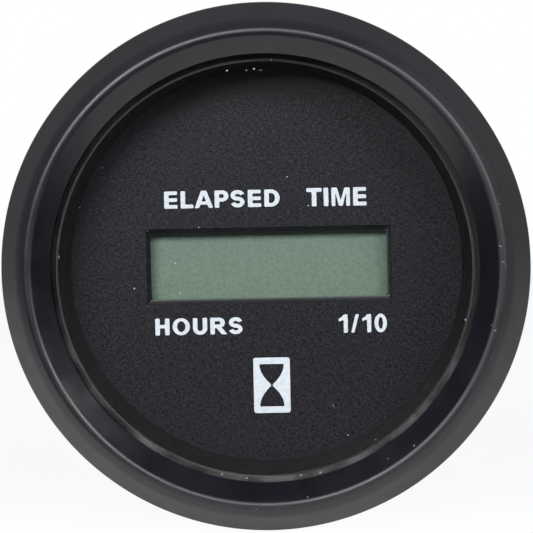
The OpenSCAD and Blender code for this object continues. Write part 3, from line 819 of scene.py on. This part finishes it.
def word_outlines(text, left, right, foot, height):
    """Outlines in millimetres of a word that fills the space from left to right."""
    outlines, reach = [], 0.0
    for i, letter in enumerate(text):
        trim = SIDE_TRIM.get(letter, (0, 0))
        width, contours = LETTERS[letter]()
        reach -= trim[0] if i else 0
        outlines += [[(x + reach, y) for x, y in soften(c, INK_ROUND)] for c in contours]
        reach += width + TRACKING - trim[1]
        end = reach - TRACKING + trim[1]
    across = (right - left) / end
    return [[(left + x * across, foot + y * height) for x, y in c] for c in outlines]


def hourglass_outlines(middle, width, height, corner):
    """A plate with an hourglass left open in it."""
    half_w, half_h = width / 2, height / 2
    plate = soften([(-half_w, -half_h), (half_w, -half_h), (half_w, half_h), (-half_w, half_h)], corner)
    drop = [i / GLASS_STEPS for i in range(GLASS_STEPS + 1)]
    side = [(max(GLASS_NECK, GLASS_HALF_W * (1 - u ** 2)), GLASS_HALF_H * (1 - u)) for u in drop]
    side += [(x, -y) for x, y in side[-2::-1]]
    glass = side + [(-x, y) for x, y in side[::-1]]
    return [[(middle[0] + x, middle[1] + y) for x, y in c] for c in (plate, soften(glass, GLASS_ROUND))]


def print_piece(name, outlines, ink):
    """A thin layer of ink on the dial from closed outlines, inner ones left open."""
    dial_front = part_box("dial_plate")[0].y
    curve = bpy.data.curves.new(name, "CURVE")
    curve.dimensions = "2D"
    curve.fill_mode = "BOTH"
    curve.extrude = INK_T / 2 * MM
    for outline in outlines:
        spline = curve.splines.new("POLY")
        spline.points.add(len(outline) - 1)
        for point, (x, y) in zip(spline.points, outline):
            point.co = (x * MM, y * MM, 0, 1)
        spline.use_cyclic_u = True
    flat = bpy.data.objects.new(name + "_outline", curve)
    bpy.context.scene.collection.objects.link(flat)
    bpy.context.view_layer.update()
    mesh = bpy.data.meshes.new_from_object(flat.evaluated_get(bpy.context.evaluated_depsgraph_get()))
    bpy.data.objects.remove(flat)
    mesh.transform(Matrix.Translation((0, dial_front, 0)) @ Matrix.Rotation(math.pi / 2, 4, "X"))
    add_piece(name, mesh, ink)


def print_dial():
    """The words and the hourglass symbol on the dial."""
    ink = white_ink()
    for legend in LEGENDS:
        place = [legend[key] for key in ("left", "right", "foot", "height")]
        print_piece(legend["name"], word_outlines(legend["text"], *place), ink)
    print_piece("hourglass_symbol", hourglass_outlines(**SYMBOL), ink)


# Bezel turned finely, so that its ridge shines in one clean line

def rounded_section(corners):
    """Points of a closed section with round corners, and one just past each end of a straight run."""
    points = []
    for i, (r, front, rounding) in enumerate(corners):
        here = Vector((r, front))
        before = (Vector(corners[i - 1][:2]) - here).normalized()
        after = (Vector(corners[(i + 1) % len(corners)][:2]) - here).normalized()
        half = before.angle(after) / 2
        setback = rounding / math.tan(half)
        points.append(here + before * (setback + FLAT_START))
        if rounding:
            middle = here + (before + after).normalized() * rounding / math.sin(half)
            spoke = here + before * setback - middle
            sweep = math.copysign(math.pi - 2 * half, spoke.cross(here - middle))
            steps = [Matrix.Rotation(sweep * k / ARC_STEPS, 2) for k in range(ARC_STEPS + 1)]
            points += [middle + step @ spoke for step in steps]
        else:
            points.append(here)
        points.append(here + after * (setback + FLAT_START))
    return points


def turn_bezel(look):
    """The bezel from its section, in place of the frame's."""
    section = rounded_section(BEZEL_SECTION)
    build = bmesh.new()
    rings = []
    for k in range(TURN_STEPS):
        turn = math.tau * k / TURN_STEPS
        rings.append([build.verts.new(Vector((p.x * math.cos(turn), -p.y, p.x * math.sin(turn))) * MM)
                      for p in section])
    for here, following in zip(rings, rings[1:] + rings[:1]):
        for i in range(len(section)):
            face = build.faces.new((here[i - 1], here[i], following[i], following[i - 1]))
            face.smooth = True
    bmesh.ops.recalc_face_normals(build, faces=build.faces)
    mesh = finished_mesh("turned_bezel", build)
    mesh.set_sharp_from_angle(angle=SHARP_ANGLE)
    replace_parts(add_piece("turned_bezel", mesh, look), "bezel")


# Dust, painted glints and scuffs

def front_surface(node):
    """Search tree over a node's surface."""
    mesh = frame["nodes"][node].data
    return BVHTree.FromPolygons([v.co for v in mesh.vertices], [p.vertices for p in mesh.polygons])


def add_speck(build, surface, middle, length, width, slant, chance):
    """A low, uneven grain on the surface that is seen at this place from the front."""
    before = Vector((middle[0] * MM, cad_box[0][1] - MM, middle[1] * MM))
    place, normal, _, _ = surface.ray_cast(before, Vector((0, 1, 0)))
    stand = normal.to_track_quat("Z", "Y").to_matrix()
    lean = Matrix.Rotation(math.radians(slant), 3, "Z")
    foot = []
    for k in range(DUST_CORNERS):
        turn = math.tau * k / DUST_CORNERS
        reach = chance.uniform(*DUST_UNEVEN) / 2
        corner = lean @ Vector((length * reach * math.cos(turn), width * reach * math.sin(turn), 0))
        foot.append(build.verts.new(place + stand @ (corner - Vector((0, 0, DUST_SINK))) * MM))
    top = build.verts.new(place + normal * DUST_HEIGHT * MM)
    for k in range(DUST_CORNERS):
        build.faces.new((foot[k - 1], foot[k], top))
    build.faces.new(foot[::-1])


def settle_grains(name, grains, tone):
    """Specks or scuffs where the photograph shows them, as one piece."""
    chance = random.Random(DUST_SEED)
    surfaces = {node: front_surface(node) for node in sorted({row[0] for row in grains})}
    build = bmesh.new()
    for node, *grain in grains:
        add_speck(build, surfaces[node], *grain, chance)
    add_piece(name, finished_mesh(name, build), pale_grain(name, tone))


# Threaded studs

def thread_radius(along, turn):
    """Radius of the thread at a distance from its free end, which is chamfered."""
    phase = (along / PITCH - turn / math.tau) % 1
    fall = max(0, 1 - abs(2 * phase - 1) - CREST_SHARE) / (1 - CREST_SHARE)
    return min(THREAD_R - THREAD_DEPTH * fall, THREAD_R - END_CHAMFER + along)


def add_thread(build, middle, start, end):
    """A screw thread along y to its free end, closed at both ends."""
    rows = math.ceil((end - start) / PITCH * ROWS_PER_PITCH)
    rings = []
    for i in range(rows + 1):
        along = (end - start) * i / rows
        turns = [math.tau * k / STEPS_PER_TURN for k in range(STEPS_PER_TURN)]
        places = [(thread_radius(along, t), t) for t in turns]
        rings.append([build.verts.new(middle + Vector((r * math.cos(t), end - along, r * math.sin(t))))
                      for r, t in places])
    for near, far in zip(rings, rings[1:]):
        for k in range(STEPS_PER_TURN):
            build.faces.new((near[k - 1], near[k], far[k], far[k - 1]))
    build.faces.new(rings[0])
    build.faces.new(rings[-1])


def add_rod(build, middle, radius, start, end, sides):
    """A closed rod along y with this many sides and corners to the left and right."""
    place = Matrix.Translation(middle + Vector((0, (start + end) / 2, 0)))
    turn = Matrix.Rotation(math.pi / 2, 4, "X") @ Matrix.Rotation(math.pi / 2, 4, "Z")
    bmesh.ops.create_cone(build, cap_ends=True, segments=sides, radius1=radius, radius2=radius,
                          depth=end - start, matrix=place @ turn)


def thread_studs(look):
    """Both mounting studs with a hexagon head, a shank and a free thread."""
    low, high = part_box("mounting_studs")
    nut_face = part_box("stud_nuts")[1].y
    corner_r = (high.z - low.z) / 2 / math.cos(math.pi / HEAD_SIDES)
    build = bmesh.new()
    for x in (low.x + corner_r, high.x - corner_r):
        middle = Vector((x, 0, (low.z + high.z) / 2))
        add_rod(build, middle, corner_r, low.y, low.y + HEAD_T, HEAD_SIDES)
        add_rod(build, middle, SHANK_R, low.y + HEAD_T, nut_face, STEPS_PER_TURN)
        add_thread(build, middle, nut_face, high.y)
    bmesh.ops.recalc_face_normals(build, faces=build.faces)
    mesh = finished_mesh("threaded_studs", build)
    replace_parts(add_piece("threaded_studs", mesh, look), "mounting_studs")


# Surroundings

def direction(turn, rise):
    """Unit vector toward a place, in degrees right of and above the dial's axis."""
    turn, rise = math.radians(turn), math.radians(rise)
    return Vector((math.sin(turn) * math.cos(rise), -math.cos(turn) * math.cos(rise), math.sin(rise)))


def add_camera():
    """Camera at the photograph's place."""
    data = bpy.data.cameras.new("camera")
    data.sensor_width = SENSOR
    data.lens = SENSOR / 2 * CAMERA_DISTANCE / HALF_FRAME
    data.clip_start = CAMERA_CLIP
    camera = bpy.data.objects.new("camera", data)
    away = direction(CAMERA_TURN, CAMERA_RISE)
    turn = away.to_track_quat("Z", "Y").to_matrix().to_4x4()
    roll = Matrix.Rotation(CAMERA_ROLL, 4, "Z")
    camera.matrix_world = Matrix.Translation(CAMERA_AIM + away * CAMERA_DISTANCE) @ turn @ roll
    bpy.context.scene.collection.objects.link(camera)
    bpy.context.scene.camera = camera


def add_soft_light(name, setting):
    """A rectangular soft box that faces the dial."""
    data = bpy.data.lights.new(name, "AREA")
    data.shape = "RECTANGLE"
    data.size, data.size_y = setting["width"], setting["height"]
    data.energy = setting["power"]
    light = bpy.data.objects.new(name, data)
    away = direction(setting["turn"], setting["rise"])
    turn = away.to_track_quat("Z", "Y").to_matrix().to_4x4()
    light.matrix_world = Matrix.Translation(away * LIGHT_DISTANCE) @ turn
    light.visible_camera = False
    bpy.context.scene.collection.objects.link(light)


def add_world():
    """A white backdrop behind the object and a dim studio in front of it."""
    world = bpy.data.worlds.new("studio")
    world.use_nodes = True
    bpy.context.scene.world = world
    tree = world.node_tree
    background = tree.nodes["Background"]
    background.inputs["Color"].default_value = (1, 1, 1, 1)
    place = tree.nodes.new("ShaderNodeTexCoord")
    split = tree.nodes.new("ShaderNodeSeparateXYZ")
    path = tree.nodes.new("ShaderNodeLightPath")
    tree.links.new(place.outputs["Generated"], split.inputs["Vector"])
    around = remap(tree, split.outputs["Y"], *BACKDROP_START, STUDIO_LEVEL, BACKDROP_LEVEL)
    behind = remap(tree, split.outputs["Y"], *BACKDROP_MIDDLE, 0, 1 - BACKDROP_LEVEL)
    lit = math_node(tree, "ADD", around, behind)
    direct = math_node(tree, "MAXIMUM", path.outputs["Is Camera Ray"], path.outputs["Is Transmission Ray"])
    seen = math_node(tree, "MAXIMUM", lit, direct)
    tree.links.new(seen, background.inputs["Strength"])


def floor_white():
    """Plain white floor that stays near white to the camera and keeps a soft shadow."""
    material, tree, shader = new_material("floor_white", (0.86, 0.86, 0.86), rough=0.8, specular=0.1)
    mottle(tree, shader, dark=(0.85, 0.85, 0.85), light=(0.87, 0.87, 0.87), size=40)
    path = tree.nodes.new("ShaderNodeLightPath")
    white = tree.nodes.new("ShaderNodeEmission")
    reach = tree.nodes.new("ShaderNodeVectorMath")
    reach.operation = "LENGTH"
    tree.links.new(surface_place(tree), reach.inputs[0])
    radius = FLOOR_RADIUS / MM
    fade = remap(tree, reach.outputs["Value"], radius * FLOOR_FADE, radius, FLOOR_WHITE, 1)
    sheen = math_node(tree, "MULTIPLY", path.outputs["Is Glossy Ray"], FLOOR_SHEEN)
    seen = math_node(tree, "MAXIMUM", path.outputs["Is Camera Ray"], sheen)
    mix_shaders(tree, math_node(tree, "MULTIPLY", seen, fade), shader, white)
    return material


def add_floor():
    """Round floor just under the bezel."""
    build = bmesh.new()
    bmesh.ops.create_circle(build, cap_ends=True, segments=FLOOR_SIDES, radius=FLOOR_RADIUS)
    floor = bpy.data.objects.new("floor", finished_mesh("floor", build))
    floor.location.y = FLOOR_RADIUS - FLOOR_FRONT
    floor.location.z = cad_box[0][2] - FLOOR_DROP
    floor.data.materials.append(floor_white())
    bpy.context.scene.collection.objects.link(floor)


looks = finishes()
dress_frame(looks)
turn_bezel(looks["bezel_black"])
print_dial()
settle_grains("dust_and_painted_light", DUST_AND_GLINTS, DUST_AND_GLINT_TONE)
settle_grains("scuffs", SCUFFS, SCUFF_TONE)
thread_studs(looks["plated_steel"])
add_camera()
add_soft_light("key_light", KEY_LIGHT)
add_soft_light("fill_light", FILL_LIGHT)
add_soft_light("top_light", TOP_LIGHT)
add_world()
add_floor()
bpy.context.scene.view_settings.view_transform = "Standard"
